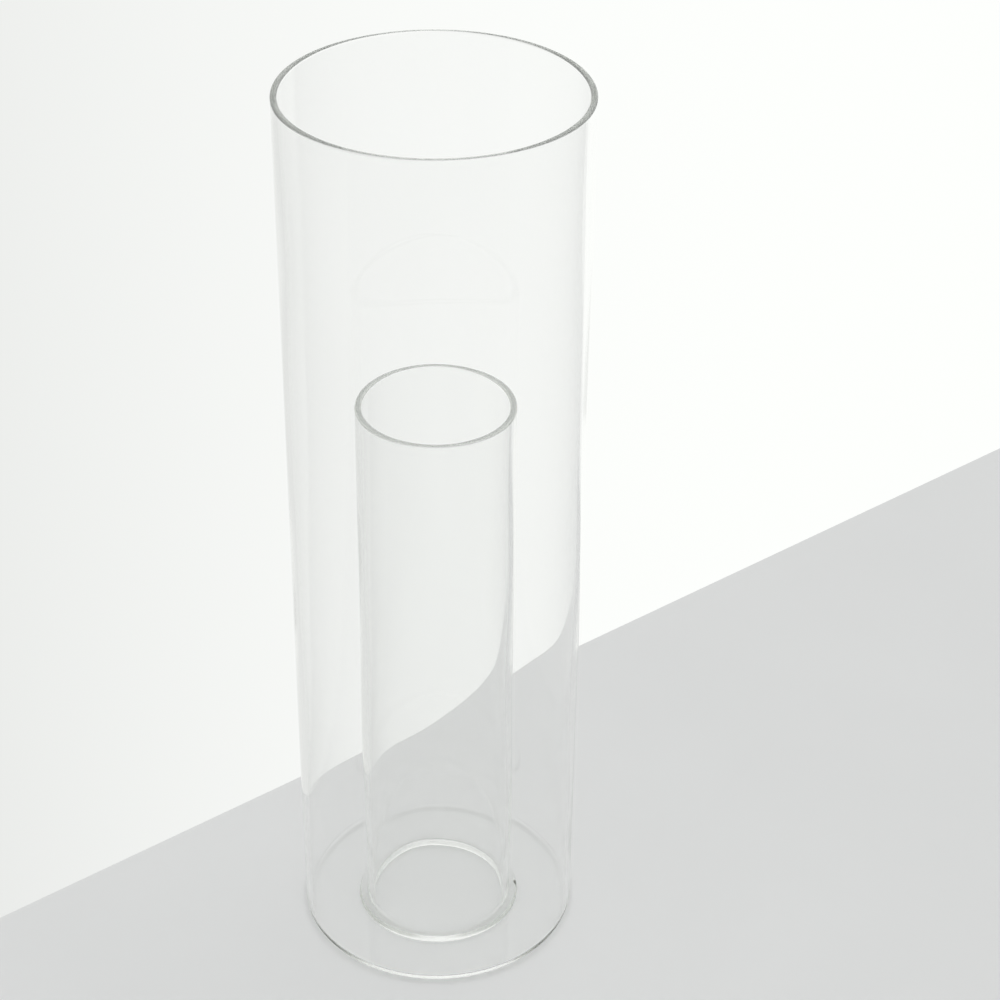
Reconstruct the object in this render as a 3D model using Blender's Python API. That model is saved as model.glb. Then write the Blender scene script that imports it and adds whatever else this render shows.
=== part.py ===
"""Double cylinder vase: a tall glass vessel with a shorter glass tube bonded upright on its floor.

Run with: blender --background --python part.py
Metres, +Z up. The origin is the middle of the underside, and every piece is turned about +Z.
"""

import math

import bmesh
import bpy
from mathutils import Vector

# Driving dimensions
OUTER_DIAMETER = 0.123
OUTER_WALL = 0.0026
TOTAL_HEIGHT = 0.400
FLOOR_THICKNESS = 0.0018
HEEL_RADIUS = 0.0030
CORNER_RADIUS = 0.0010
INNER_DIAMETER = 0.0665
INNER_WALL = 0.0028
INNER_RIM_HEIGHT = 0.264
RIM_RADIUS = 0.0010
FOOT_RADIUS = 0.0004
BEAD_WIDTH = 0.0035
BEAD_HEIGHT = 0.0023
BEAD_LIP = 0.0003
BOND_GAP = 0.0003

# Fineness of the turned shapes
SEGMENTS = 72
RIM_STEPS = 3
HEEL_STEPS = 5
BEAD_STEPS = 6
SHARP_ANGLE = math.radians(35)
MERGE_DISTANCE = 0.00001

# Values that follow from the dimensions
OUTER_RADIUS = OUTER_DIAMETER / 2
INNER_RADIUS = INNER_DIAMETER / 2
FOOT_LEVEL = FLOOR_THICKNESS + BOND_GAP

UP = Vector((0, 0, 1))
CENTRE = Vector((0, 0, 0))


def clear_scene():
    for old in list(bpy.data.objects):
        bpy.data.objects.remove(old, do_unlink=True)


def glass_material(name, colour, roughness, ior):
    material = bpy.data.materials.new(name)
    material.use_nodes = True
    shader = material.node_tree.nodes["Principled BSDF"]
    shader.inputs["Base Color"].default_value = (*colour, 1.0)
    shader.inputs["Metallic"].default_value = 0.0
    shader.inputs["Roughness"].default_value = roughness
    shader.inputs["IOR"].default_value = ior
    shader.inputs["Transmission Weight"].default_value = 1.0
    return material


def turned(name, outline, material):
    """One solid of revolution: a closed outline of (radius, height) points, turned once about +Z."""
    shape = bmesh.new()
    points = [shape.verts.new((radius, 0.0, height)) for radius, height in outline]
    loop = [shape.edges.new((a, b)) for a, b in zip(points, points[1:] + points[:1])]
    on_axis = [edge for edge in loop if max(vert.co.x for vert in edge.verts) < MERGE_DISTANCE]
    for edge in on_axis:
        loop.remove(edge)
        shape.edges.remove(edge)
    bmesh.ops.spin(
        shape,
        geom=points + loop,
        cent=CENTRE,
        axis=UP,
        angle=2 * math.pi,
        steps=SEGMENTS,
        use_merge=True,
    )
    bmesh.ops.remove_doubles(shape, verts=shape.verts, dist=MERGE_DISTANCE)
    bmesh.ops.recalc_face_normals(shape, faces=shape.faces)
    mesh = bpy.data.meshes.new(name)
    shape.to_mesh(mesh)
    shape.free()
    mesh.shade_smooth()
    mesh.set_sharp_from_angle(angle=SHARP_ANGLE)
    mesh.materials.append(material)
    piece = bpy.data.objects.new(name, mesh)
    bpy.context.collection.objects.link(piece)
    return piece


def arc(centre_radius, centre_height, size, start_degrees, turn_degrees, steps):
    """Points on an arc from start_degrees; a positive turn runs anticlockwise."""
    points = []
    for step in range(steps + 1):
        angle = math.radians(start_degrees + turn_degrees * step / steps)
        radius = centre_radius + size * math.cos(angle)
        height = centre_height + size * math.sin(angle)
        points.append((radius, height))
    return points


def rim(radius, bore, top):
    """The rounded top of a wall, from its outside over to its bore."""
    shoulder = top - RIM_RADIUS
    points = arc(radius - RIM_RADIUS, shoulder, RIM_RADIUS, 0, 90, RIM_STEPS)
    points += arc(bore + RIM_RADIUS, shoulder, RIM_RADIUS, 90, 90, RIM_STEPS)
    return points


def vessel_outline():
    """Half the section of the outer vessel: flat underside, round heel, wall, rim, bore and floor."""
    bore = OUTER_RADIUS - OUTER_WALL
    corner_level = FLOOR_THICKNESS + CORNER_RADIUS
    outline = [(0.0, 0.0)]
    outline += arc(OUTER_RADIUS - HEEL_RADIUS, HEEL_RADIUS, HEEL_RADIUS, -90, 90, HEEL_STEPS)
    outline += rim(OUTER_RADIUS, bore, TOTAL_HEIGHT)
    outline += arc(bore - CORNER_RADIUS, corner_level, CORNER_RADIUS, 0, -90, RIM_STEPS)
    outline.append((0.0, FLOOR_THICKNESS))
    return outline


def tube_outline():
    """The inner tube's wall: open at both ends, with its foot edges eased."""
    bore = INNER_RADIUS - INNER_WALL
    foot = FOOT_LEVEL + FOOT_RADIUS
    outline = arc(INNER_RADIUS - FOOT_RADIUS, foot, FOOT_RADIUS, -90, 90, RIM_STEPS)
    outline += rim(INNER_RADIUS, bore, INNER_RIM_HEIGHT)
    outline += arc(bore + FOOT_RADIUS, foot, FOOT_RADIUS, 180, 90, RIM_STEPS)
    return outline


def bead_outline():
    """A squeezed-out bead around the tube's foot, with a full round face from the wall to the floor."""
    start = INNER_RADIUS + BOND_GAP
    reach = BEAD_WIDTH - BOND_GAP
    outline = [(start, FOOT_LEVEL), (start + reach, FOOT_LEVEL)]
    for step in range(BEAD_STEPS + 1):
        angle = math.radians(90 * step / BEAD_STEPS)
        out = BEAD_LIP + (reach - BEAD_LIP) * math.cos(angle)
        up = BEAD_LIP + (BEAD_HEIGHT - BEAD_LIP) * math.sin(angle)
        outline.append((start + out, FOOT_LEVEL + up))
    outline.append((start, FOOT_LEVEL + BEAD_HEIGHT))
    return outline


def clear_glass(name):
    return glass_material(name + "_glass", colour=(0.93, 0.95, 0.94), roughness=0.02, ior=1.50)


def clear_bond(name):
    return glass_material(name + "_bond", colour=(0.95, 0.95, 0.93), roughness=0.05, ior=1.48)


def main():
    clear_scene()
    turned("outer_vessel", vessel_outline(), clear_glass("outer_vessel"))
    turned("inner_tube", tube_outline(), clear_glass("inner_tube"))
    turned("foot_bead", bead_outline(), clear_bond("foot_bead"))


main()
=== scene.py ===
"""Double glass cylinder vase: the looks. Metres, +Z up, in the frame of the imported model."""

import math

import bmesh
import bpy
from mathutils import Matrix, Vector


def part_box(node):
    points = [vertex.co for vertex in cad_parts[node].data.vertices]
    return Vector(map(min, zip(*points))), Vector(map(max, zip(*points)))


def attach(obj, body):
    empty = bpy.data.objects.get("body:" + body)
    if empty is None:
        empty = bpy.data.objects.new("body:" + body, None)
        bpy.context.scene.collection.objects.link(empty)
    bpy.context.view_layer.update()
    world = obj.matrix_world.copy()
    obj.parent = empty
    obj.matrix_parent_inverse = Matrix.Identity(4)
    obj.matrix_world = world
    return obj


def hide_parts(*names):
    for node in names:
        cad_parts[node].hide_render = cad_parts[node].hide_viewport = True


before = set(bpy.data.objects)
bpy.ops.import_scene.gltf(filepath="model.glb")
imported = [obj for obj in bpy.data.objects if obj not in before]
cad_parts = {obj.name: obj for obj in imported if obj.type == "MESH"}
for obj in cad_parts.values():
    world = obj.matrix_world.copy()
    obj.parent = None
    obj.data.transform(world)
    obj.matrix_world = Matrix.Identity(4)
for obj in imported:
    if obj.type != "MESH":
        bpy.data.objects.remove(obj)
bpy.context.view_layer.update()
BODY = "root"

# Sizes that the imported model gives
VESSEL_LOW, VESSEL_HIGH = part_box("outer_vessel")
TUBE_LOW, TUBE_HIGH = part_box("inner_tube")
BEAD_LOW, BEAD_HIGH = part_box("foot_bead")

# Sizes that its boxes can't show
VESSEL_WALL = 0.0026
TUBE_WALL = 0.0028
FLOOR_THICKNESS = 0.0018
HEEL_ROUND = 0.0030
CORNER_ROUND = 0.0010
RIM_ROUND = 0.0010
TOE = 0.0004

# What the making leaves in the glass: walls that drift a little out of round and out of thickness
DRIFT = 0.00005
DRIFT_START = 0.008
DRIFT_FULL = 0.060
ROUNDNESS_WAVES = ((1.0, 2, 17, 0), (0.5, 3, -41, 2))
THICKNESS_WAVES = ((1.0, 4, 29, 1), (0.6, 7, -53, 0))

# Fineness
AROUND = 384
ROUND_STEPS = 8
WALL_STEP = 0.005
HOLD = 0.00005
SLIVER = 0.00002
SHARP_ANGLE = math.radians(40)

# Glass: what one crossing of a face lets pass, in the clear and in a streak, and its colour in depth
GLASS_IOR = 1.5
BONDED_IOR = 1.0
GLASS_PASSES = (0.992, 0.993, 0.9915)
GLASS_STREAK_PASSES = (0.988, 0.9895, 0.9875)
GLASS_DEPTH = (0.50, 0.54, 0.47)
VESSEL_DENSITY = 0.7
TUBE_DENSITY = 1.2
BEAD_DENSITY = 0.4

# Drawn streaks, and the worn foot
STREAK_SCALE = 70.0
STREAK_DETAIL = 3
STREAK_DEPTH = 0.00001
WALL_STRETCH = 0.04
BEAD_STRETCH = 4.0
WEAR_FULL = 0.0010
WEAR_END = 0.0040
WEAR_ROUGHNESS = 0.10

# One dark speck in the bead, at the right
BLEMISH = Vector((0.0365, 0.0005, 0.0030))
BLEMISH_CORE = 0.0011
BLEMISH_SIZE = 0.0020
BLEMISH_SPREAD = 0.0028
BLEMISH_RISE = 0.0004
BLEMISH_COLOUR = (0.05, 0.05, 0.03)

# Camera
CAMERA_DISTANCE = 0.8196
CAMERA_HEIGHT = 0.7528
CAMERA_DOWN = math.radians(33.18)
CAMERA_PAN = math.radians(1.859)
CAMERA_ROLL = math.radians(0.7225)
CAMERA_LENS = 84.39
CAMERA_REACH = 50

# Floor and light
FLOOR_EDGE_DISTANCE = 0.1060
FLOOR_EDGE_TURN = math.radians(36.5)
FLOOR_REACH = 4.0
FLOOR_DROP = 0.0003
FLOOR_DARK = (0.735, 0.735, 0.745)
FLOOR_LIGHT = (0.765, 0.765, 0.775)
FLOOR_MOTTLE_SCALE = 9.0
FLOOR_ROUGHNESS = 0.8
BRIGHT_SIDE = 1.0
ROOM_SIDE = 0.78
BRIGHT_TURN = math.radians(-30)
BRIGHT_EDGES = (0.6, 0.95)
OVERHEAD = 0.11
CEILING_EDGE = 0.8
LIGHT_CAST = (0.987, 1.0, 0.98)

# Light paths
GLASS_BOUNCES = 256
FLOOR_BOUNCES = 6
CLEAR_BOUNCES = 16


def arc(centre_r, centre_z, size, start, turn, steps=ROUND_STEPS):
    """Points on an arc from start degrees, turning turn degrees anticlockwise."""
    points = []
    for step in range(steps + 1):
        angle = math.radians(start + turn * step / steps)
        points.append((centre_r + size * math.cos(angle), centre_z + size * math.sin(angle)))
    return points


def upright(radius, low, high):
    """Points between two heights: one close to each end, so that the wall shades straight, and even steps."""
    hold = math.copysign(HOLD, high - low)
    start, end = low + hold, high - hold
    count = max(1, round(abs(end - start) / WALL_STEP))
    return [(radius, start + (end - start) * i / count) for i in range(count + 1)]


def level(height, start, end):
    """Two points between two radii at one height, each held close to its end."""
    hold = math.copysign(HOLD, end - start)
    return [(start + hold, height), (end - hold, height)]


def waves(table, angle, height):
    """A sum of waves round the wall; each row is size, lobes, twist per metre of height, and phase."""
    total = 0
    for size, lobes, twist, phase in table:
        total += size * math.sin(lobes * angle + twist * height + phase)
    return total


def drift(radius, height, angle, bore, wall):
    """How far a point of a wall stands off its true radius, fading out towards the foot."""
    part = min(1, max(0, (height - DRIFT_START) / (DRIFT_FULL - DRIFT_START)))
    fade = part * part * (3 - 2 * part)
    across = min(1, max(0, (radius - bore) / wall))
    roundness = waves(ROUNDNESS_WAVES, angle, height)
    thickness = waves(THICKNESS_WAVES, angle, height)
    return DRIFT * fade * (roundness + (1 - across) * thickness)


def turned(name, outline, closed=True, bore=0.0, wall=0.0, bonded=None):
    """A solid turned about +Z from (radius, height) points; bonded tells which of its faces are stuck on."""
    shape = bmesh.new()
    rings = []
    for radius, height in outline:
        if radius < SLIVER:
            rings.append([shape.verts.new((0, 0, height))])
            continue
        ring = []
        for i in range(AROUND):
            angle = 2 * math.pi * i / AROUND
            out = radius + (drift(radius, height, angle, bore, wall) if wall else 0)
            ring.append(shape.verts.new((out * math.cos(angle), out * math.sin(angle), height)))
        rings.append(ring)
    pairs = list(zip(rings, rings[1:], outline, outline[1:]))
    if closed:
        pairs.append((rings[-1], rings[0], outline[-1], outline[0]))
    stuck = []
    for low, high, first, second in pairs:
        middle = ((first[0] + second[0]) / 2, (first[1] + second[1]) / 2)
        value = 1.0 if bonded and bonded(*middle) else 0.0
        for i in range(AROUND):
            j = (i + 1) % AROUND
            corners = [low[i % len(low)], low[j % len(low)], high[j % len(high)], high[i % len(high)]]
            unique = [v for k, v in enumerate(corners) if v not in corners[:k]]
            shape.faces.new(unique)
            stuck.append(value)
    bmesh.ops.recalc_face_normals(shape, faces=shape.faces)
    mesh = bpy.data.meshes.new(name)
    shape.to_mesh(mesh)
    shape.free()
    mesh.shade_smooth()
    mesh.set_sharp_from_angle(angle=SHARP_ANGLE)
    mesh.attributes.new("bonded", "FLOAT", "FACE").data.foreach_set("value", stuck)
    piece = bpy.data.objects.new(name, mesh)
    bpy.context.collection.objects.link(piece)
    return piece


def rim(radius, bore, top):
    shoulder = top - RIM_ROUND
    points = arc(radius - RIM_ROUND, shoulder, RIM_ROUND, 0, 90)
    points += level(top, radius - RIM_ROUND, bore + RIM_ROUND)
    points += arc(bore + RIM_ROUND, shoulder, RIM_ROUND, 90, 90)
    return points


def make_vessel(material):
    radius, top = VESSEL_HIGH.x, VESSEL_HIGH.z
    bore = radius - VESSEL_WALL
    floor = FLOOR_THICKNESS
    tube_bore = TUBE_HIGH.x - TUBE_WALL
    outline = [(0, 0)]
    outline += level(0, 0, radius - HEEL_ROUND)
    outline += arc(radius - HEEL_ROUND, HEEL_ROUND, HEEL_ROUND, -90, 90)
    outline += upright(radius, HEEL_ROUND, top - RIM_ROUND)
    outline += rim(radius, bore, top)
    outline += upright(bore, top - RIM_ROUND, floor + CORNER_ROUND)
    outline += arc(bore - CORNER_ROUND, floor + CORNER_ROUND, CORNER_ROUND, 0, -90)
    outline += level(floor, bore - CORNER_ROUND, BEAD_HIGH.x)
    outline += [(BEAD_HIGH.x, floor), (tube_bore - TOE, floor), (0, floor)]

    def bonded(r, z):
        return abs(z - floor) < SLIVER and tube_bore - TOE < r < BEAD_HIGH.x

    piece = turned("vessel", outline, closed=False, bore=bore, wall=VESSEL_WALL, bonded=bonded)
    finish_piece(piece, "outer_vessel", material)


def make_tube(material):
    radius, top = TUBE_HIGH.x, TUBE_HIGH.z
    bore = radius - TUBE_WALL
    foot = FLOOR_THICKNESS + SLIVER
    bead_top = BEAD_HIGH.z
    outline = [(bore - TOE, foot), (radius, foot), (radius, bead_top)]
    outline += upright(radius, bead_top, top - RIM_ROUND)
    outline += rim(radius, bore, top)
    outline += upright(bore, top - RIM_ROUND, foot + TOE)
    outline += arc(bore - TOE, foot + TOE, TOE, 0, -90)[:-1]

    def bonded(r, z):
        return z < foot + SLIVER or (z < bead_top and r > radius - SLIVER)

    piece = turned("tube", outline, bore=bore, wall=TUBE_WALL, bonded=bonded)
    finish_piece(piece, "inner_tube", material)


def make_bead(material):
    start = TUBE_HIGH.x + SLIVER
    reach = BEAD_HIGH.x - start
    foot = FLOOR_THICKNESS + SLIVER
    rise = BEAD_HIGH.z - foot
    outline = [(start, foot)]
    steps = 2 * ROUND_STEPS
    for step in range(steps + 1):
        angle = math.radians(90 * step / steps)
        outline.append((start + reach * math.cos(angle), foot + rise * math.sin(angle)))

    def bonded(r, z):
        return z < foot + SLIVER or r < start + SLIVER

    piece = turned("bead", outline, bonded=bonded)
    for point in piece.data.vertices:
        if point.co.z > foot + SLIVER and point.co.xy.length > start + SLIVER:
            near = max(0, 1 - (point.co - BLEMISH).length / BLEMISH_SPREAD)
            point.co.z += BLEMISH_RISE * near * near
    finish_piece(piece, "foot_bead", material)


def ramp_node(nodes, low, high, start, end):
    """A smooth step from one value to another."""
    ramp = nodes.new("ShaderNodeMapRange")
    ramp.interpolation_type = "SMOOTHSTEP"
    ramp.inputs["From Min"].default_value = low
    ramp.inputs["From Max"].default_value = high
    ramp.inputs["To Min"].default_value = start
    ramp.inputs["To Max"].default_value = end
    return ramp


def mixed_colour(nodes, links, factor, first, second):
    """A colour part way between two; each is a fixed colour or a socket."""
    mix = nodes.new("ShaderNodeMix")
    mix.data_type = "RGBA"
    sockets = {socket.identifier: socket for socket in mix.inputs}
    links.new(factor, sockets["Factor_Float"])
    for name, colour in (("A_Color", first), ("B_Color", second)):
        if isinstance(colour, tuple):
            sockets[name].default_value = (*colour, 1)
        else:
            links.new(colour, sockets[name])
    return next(socket for socket in mix.outputs if socket.identifier == "Result_Color")


def drawn_streaks(nodes, links, stretch):
    """Noise drawn out along the axis, as the pull of forming leaves it in a wall."""
    where = nodes.new("ShaderNodeTexCoord")
    mapping = nodes.new("ShaderNodeMapping")
    mapping.inputs["Scale"].default_value = (1, 1, stretch)
    noise = nodes.new("ShaderNodeTexNoise")
    noise.inputs["Scale"].default_value = STREAK_SCALE
    noise.inputs["Detail"].default_value = STREAK_DETAIL
    links.new(where.outputs["Object"], mapping.inputs["Vector"])
    links.new(mapping.outputs["Vector"], noise.inputs["Vector"])
    return noise.outputs["Fac"]


def glass(name, density, stretch):
    """Clear glass: faint drawn streaks in tint and face, a worn foot, and bonded faces that bend no light."""
    material = bpy.data.materials.new(name)
    material.use_nodes = True
    nodes = material.node_tree.nodes
    links = material.node_tree.links
    shader = nodes["Principled BSDF"]
    shader.inputs["Transmission Weight"].default_value = 1
    shader.inputs["Roughness"].default_value = 0
    shader.inputs["IOR"].default_value = GLASS_IOR
    place = nodes.new("ShaderNodeTexCoord")
    height = nodes.new("ShaderNodeSeparateXYZ")
    wear = ramp_node(nodes, WEAR_FULL, WEAR_END, WEAR_ROUGHNESS, 0.0)
    links.new(place.outputs["Object"], height.inputs["Vector"])
    links.new(height.outputs["Z"], wear.inputs["Value"])
    links.new(wear.outputs["Result"], shader.inputs["Roughness"])
    streaks = drawn_streaks(nodes, links, stretch)
    tint = mixed_colour(nodes, links, streaks, GLASS_PASSES, GLASS_STREAK_PASSES)
    links.new(tint, shader.inputs["Base Color"])
    ripple = nodes.new("ShaderNodeBump")
    ripple.inputs["Strength"].default_value = 1
    ripple.inputs["Distance"].default_value = STREAK_DEPTH
    links.new(streaks, ripple.inputs["Height"])
    links.new(ripple.outputs["Normal"], shader.inputs["Normal"])
    stuck = nodes.new("ShaderNodeAttribute")
    stuck.attribute_name = "bonded"
    bend = nodes.new("ShaderNodeMapRange")
    bend.inputs["To Min"].default_value = GLASS_IOR
    bend.inputs["To Max"].default_value = BONDED_IOR
    links.new(stuck.outputs["Fac"], bend.inputs["Value"])
    links.new(bend.outputs["Result"], shader.inputs["IOR"])
    volume = nodes.new("ShaderNodeVolumeAbsorption")
    volume.inputs["Color"].default_value = (*GLASS_DEPTH, 1)
    volume.inputs["Density"].default_value = density
    links.new(volume.outputs["Volume"], nodes["Material Output"].inputs["Volume"])
    return material


def blemished(material):
    """The same glass with one small dark speck set in it."""
    nodes = material.node_tree.nodes
    links = material.node_tree.links
    shader = nodes["Principled BSDF"]
    tint = shader.inputs["Base Color"].links[0].from_socket
    where = nodes.new("ShaderNodeTexCoord")
    apart = nodes.new("ShaderNodeVectorMath")
    apart.operation = "DISTANCE"
    apart.inputs[1].default_value = BLEMISH
    inside = ramp_node(nodes, BLEMISH_CORE, BLEMISH_SIZE, 1.0, 0.0)
    links.new(where.outputs["Object"], apart.inputs[0])
    links.new(apart.outputs["Value"], inside.inputs["Value"])
    speck = mixed_colour(nodes, links, inside.outputs["Result"], tint, BLEMISH_COLOUR)
    links.new(speck, shader.inputs["Base Color"])
    clear = ramp_node(nodes, BLEMISH_CORE, BLEMISH_SIZE, 0.0, 1.0)
    links.new(apart.outputs["Value"], clear.inputs["Value"])
    links.new(clear.outputs["Result"], shader.inputs["Transmission Weight"])
    return material


def finish_piece(piece, node, material):
    piece.data.materials.append(material)
    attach(piece, BODY)
    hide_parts(node)


def make_vase():
    make_vessel(glass("vessel_glass", VESSEL_DENSITY, WALL_STRETCH))
    make_tube(glass("tube_glass", TUBE_DENSITY, WALL_STRETCH))
    make_bead(blemished(glass("bead_glass", BEAD_DENSITY, BEAD_STRETCH)))


def make_floor():
    across = Vector((math.cos(FLOOR_EDGE_TURN), math.sin(FLOOR_EDGE_TURN), 0))
    away = Vector((-math.sin(FLOOR_EDGE_TURN), math.cos(FLOOR_EDGE_TURN), 0))
    edge = away * FLOOR_EDGE_DISTANCE
    down = Vector((0, 0, -FLOOR_DROP))
    corners = [
        edge - across * FLOOR_REACH,
        edge - across * FLOOR_REACH - away * FLOOR_REACH,
        edge + across * FLOOR_REACH - away * FLOOR_REACH,
        edge + across * FLOOR_REACH,
    ]
    mesh = bpy.data.meshes.new("floor")
    mesh.from_pydata([c + down for c in corners], [], [(0, 1, 2, 3)])
    floor = bpy.data.objects.new("floor", mesh)
    bpy.context.collection.objects.link(floor)
    material = bpy.data.materials.new("floor")
    material.use_nodes = True
    shader = material.node_tree.nodes["Principled BSDF"]
    shader.inputs["Roughness"].default_value = FLOOR_ROUGHNESS
    nodes = material.node_tree.nodes
    links = material.node_tree.links
    where = nodes.new("ShaderNodeTexCoord")
    mottle = nodes.new("ShaderNodeTexNoise")
    mottle.inputs["Scale"].default_value = FLOOR_MOTTLE_SCALE
    links.new(where.outputs["Object"], mottle.inputs["Vector"])
    shade = mixed_colour(nodes, links, mottle.outputs["Fac"], FLOOR_DARK, FLOOR_LIGHT)
    links.new(shade, shader.inputs["Base Color"])
    mesh.materials.append(material)


def make_world():
    """Soft light all round: brightest behind the vase to its right, and a little stronger from above."""
    world = bpy.data.worlds.new("studio")
    bpy.context.scene.world = world
    world.use_nodes = True
    nodes = world.node_tree.nodes
    links = world.node_tree.links
    background = nodes["Background"]
    background.inputs["Color"].default_value = (*LIGHT_CAST, 1)
    where = nodes.new("ShaderNodeTexCoord")
    flat = nodes.new("ShaderNodeVectorMath")
    flat.operation = "MULTIPLY"
    flat.inputs[1].default_value = (1, 1, 0)
    around = nodes.new("ShaderNodeVectorMath")
    around.operation = "NORMALIZE"
    towards = nodes.new("ShaderNodeVectorMath")
    towards.operation = "DOT_PRODUCT"
    towards.inputs[1].default_value = (-math.sin(BRIGHT_TURN), math.cos(BRIGHT_TURN), 0)
    side = ramp_node(nodes, *BRIGHT_EDGES, ROOM_SIDE, BRIGHT_SIDE)
    height = nodes.new("ShaderNodeSeparateXYZ")
    ceiling = ramp_node(nodes, 0.0, CEILING_EDGE, 0.0, OVERHEAD)
    total = nodes.new("ShaderNodeMath")
    total.operation = "ADD"
    links.new(where.outputs["Generated"], flat.inputs[0])
    links.new(flat.outputs["Vector"], around.inputs[0])
    links.new(around.outputs["Vector"], towards.inputs[0])
    links.new(towards.outputs["Value"], side.inputs["Value"])
    links.new(where.outputs["Generated"], height.inputs["Vector"])
    links.new(height.outputs["Z"], ceiling.inputs["Value"])
    links.new(side.outputs["Result"], total.inputs[0])
    links.new(ceiling.outputs["Result"], total.inputs[1])
    links.new(total.outputs["Value"], background.inputs["Strength"])


def make_camera():
    forward = Vector((
        math.sin(CAMERA_PAN) * math.cos(CAMERA_DOWN),
        math.cos(CAMERA_PAN) * math.cos(CAMERA_DOWN),
        -math.sin(CAMERA_DOWN),
    ))
    right = Vector((math.cos(CAMERA_PAN), -math.sin(CAMERA_PAN), 0))
    up = right.cross(forward)
    axes = Matrix((right, up, -forward)).transposed()
    data = bpy.data.cameras.new("camera")
    data.lens = CAMERA_LENS
    data.clip_end = CAMERA_REACH
    camera = bpy.data.objects.new("camera", data)
    bpy.context.collection.objects.link(camera)
    camera.location = (0, -CAMERA_DISTANCE, CAMERA_HEIGHT)
    camera.rotation_euler = (axes @ Matrix.Rotation(CAMERA_ROLL, 3, "Z")).to_euler()
    bpy.context.scene.camera = camera


def set_light_paths():
    """Light that enters a rim crosses the wall over a hundred times before it leaves."""
    cycles = bpy.context.scene.cycles
    cycles.max_bounces = GLASS_BOUNCES
    cycles.glossy_bounces = GLASS_BOUNCES
    cycles.transmission_bounces = GLASS_BOUNCES
    cycles.diffuse_bounces = FLOOR_BOUNCES
    cycles.transparent_max_bounces = CLEAR_BOUNCES
    cycles.blur_glossy = 0
    bpy.context.scene.view_settings.view_transform = "Standard"


make_vase()
make_floor()
make_world()
make_camera()
set_light_paths()
